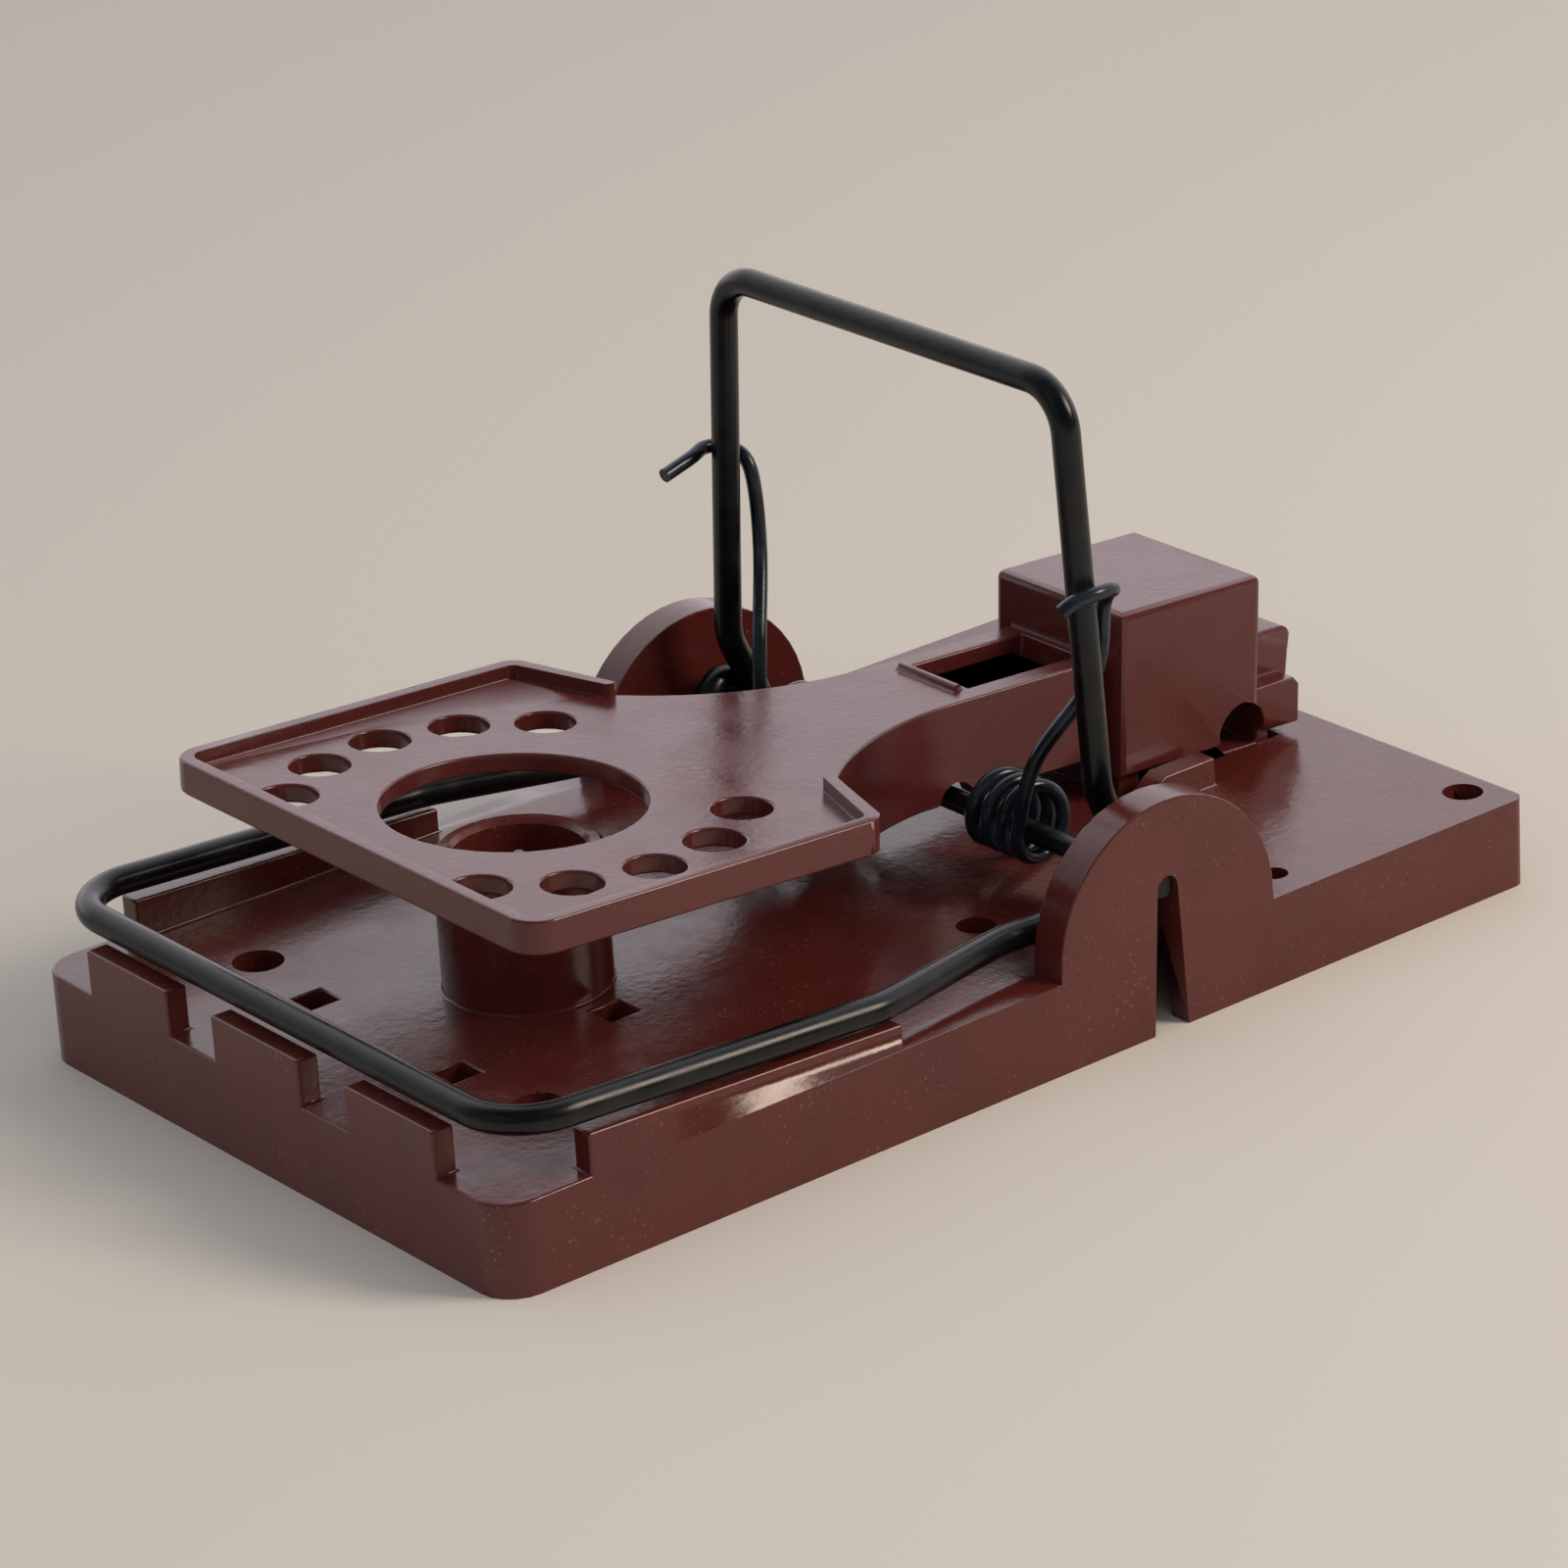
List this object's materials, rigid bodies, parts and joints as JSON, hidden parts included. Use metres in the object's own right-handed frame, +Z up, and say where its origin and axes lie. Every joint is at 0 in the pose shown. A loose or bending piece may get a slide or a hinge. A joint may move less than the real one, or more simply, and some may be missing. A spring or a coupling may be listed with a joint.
{
  "type": "snap mouse trap",
  "caption": "Plastic snap mouse trap with a tilting treadle, a bait cup, and a bent wire striker whose upright bow is pressed back to set it.",
  "frame": {"origin": "middle of the base's footprint, on the surface that the trap stands on", "axes": "+X from the striker's front bar to the latch at the rear, +Y to the left of someone looking along +X, +Z up"},
  "size_m": [0.099, 0.058, 0.0493],
  "materials": {
    "base_plastic": "glossy injection moulding",
    "treadle_plastic": "glossy injection moulding",
    "striker_wire": "black finished spring wire, satin",
    "axle_wire": "black finished wire, satin",
    "spring_wire": "black finished spring wire, satin"
  },
  "bodies": {
    "base": {"base": "base_plastic", "axle": "axle_wire"},
    "treadle": {"treadle": "treadle_plastic"},
    "striker": {"striker_bow": "striker_wire", "spring_right": "spring_wire", "spring_left": "spring_wire"}
  },
  "joints": [
    {"name": "striker_hinge", "type": "hinge", "parent": "base", "child": "striker", "pos_m": [0.0123, 0, 0.0115], "axis": [0, 1, 0], "range_deg": [0, 90], "stiffness_Nm_per_rad": 0.12, "springref_deg": -51.57, "deforming": ["spring_right", "spring_left"]},
    {"name": "treadle_tilt", "type": "hinge", "parent": "base", "child": "treadle", "pos_m": [0.0405, 0, 0.004], "axis": [0, 1, 0], "range_deg": [0, 4.5]}
  ]
}
